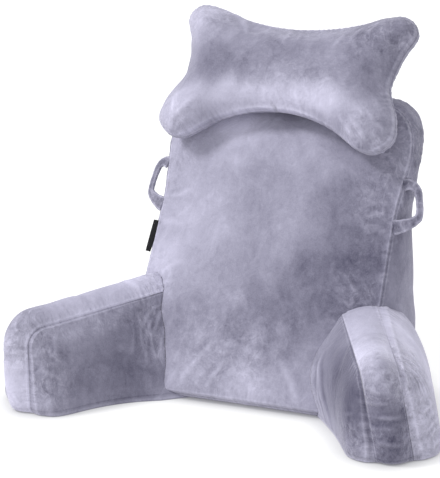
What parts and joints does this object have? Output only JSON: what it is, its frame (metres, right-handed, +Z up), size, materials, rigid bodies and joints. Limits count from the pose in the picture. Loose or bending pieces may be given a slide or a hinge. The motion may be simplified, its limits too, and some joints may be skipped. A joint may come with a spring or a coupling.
{
  "type": "reading pillow with arms",
  "caption": "Filled velvet reading pillow: tall leaning backrest, splayed boxed arms, bone shaped neck pillow, side handle loops and a bare woven tag.",
  "frame": {"origin": "on the underside, on the floor, at the middle of the backrest's footprint", "axes": "+X towards the sitter's left arm, which is the right side as seen from the front; the pillow faces -Y; +Z up"},
  "size_m": [0.9027, 0.6071, 0.7144],
  "materials": {
    "velvet": "lavender grey short pile velvet",
    "woven_tag": "black woven tape"
  },
  "bodies": {
    "root": {"backrest": "velvet", "arm_left": "velvet", "arm_right": "velvet", "neck_pillow": "velvet", "loop_left": "velvet", "loop_right": "velvet", "tag": "woven_tag"}
  },
  "joints": []
}
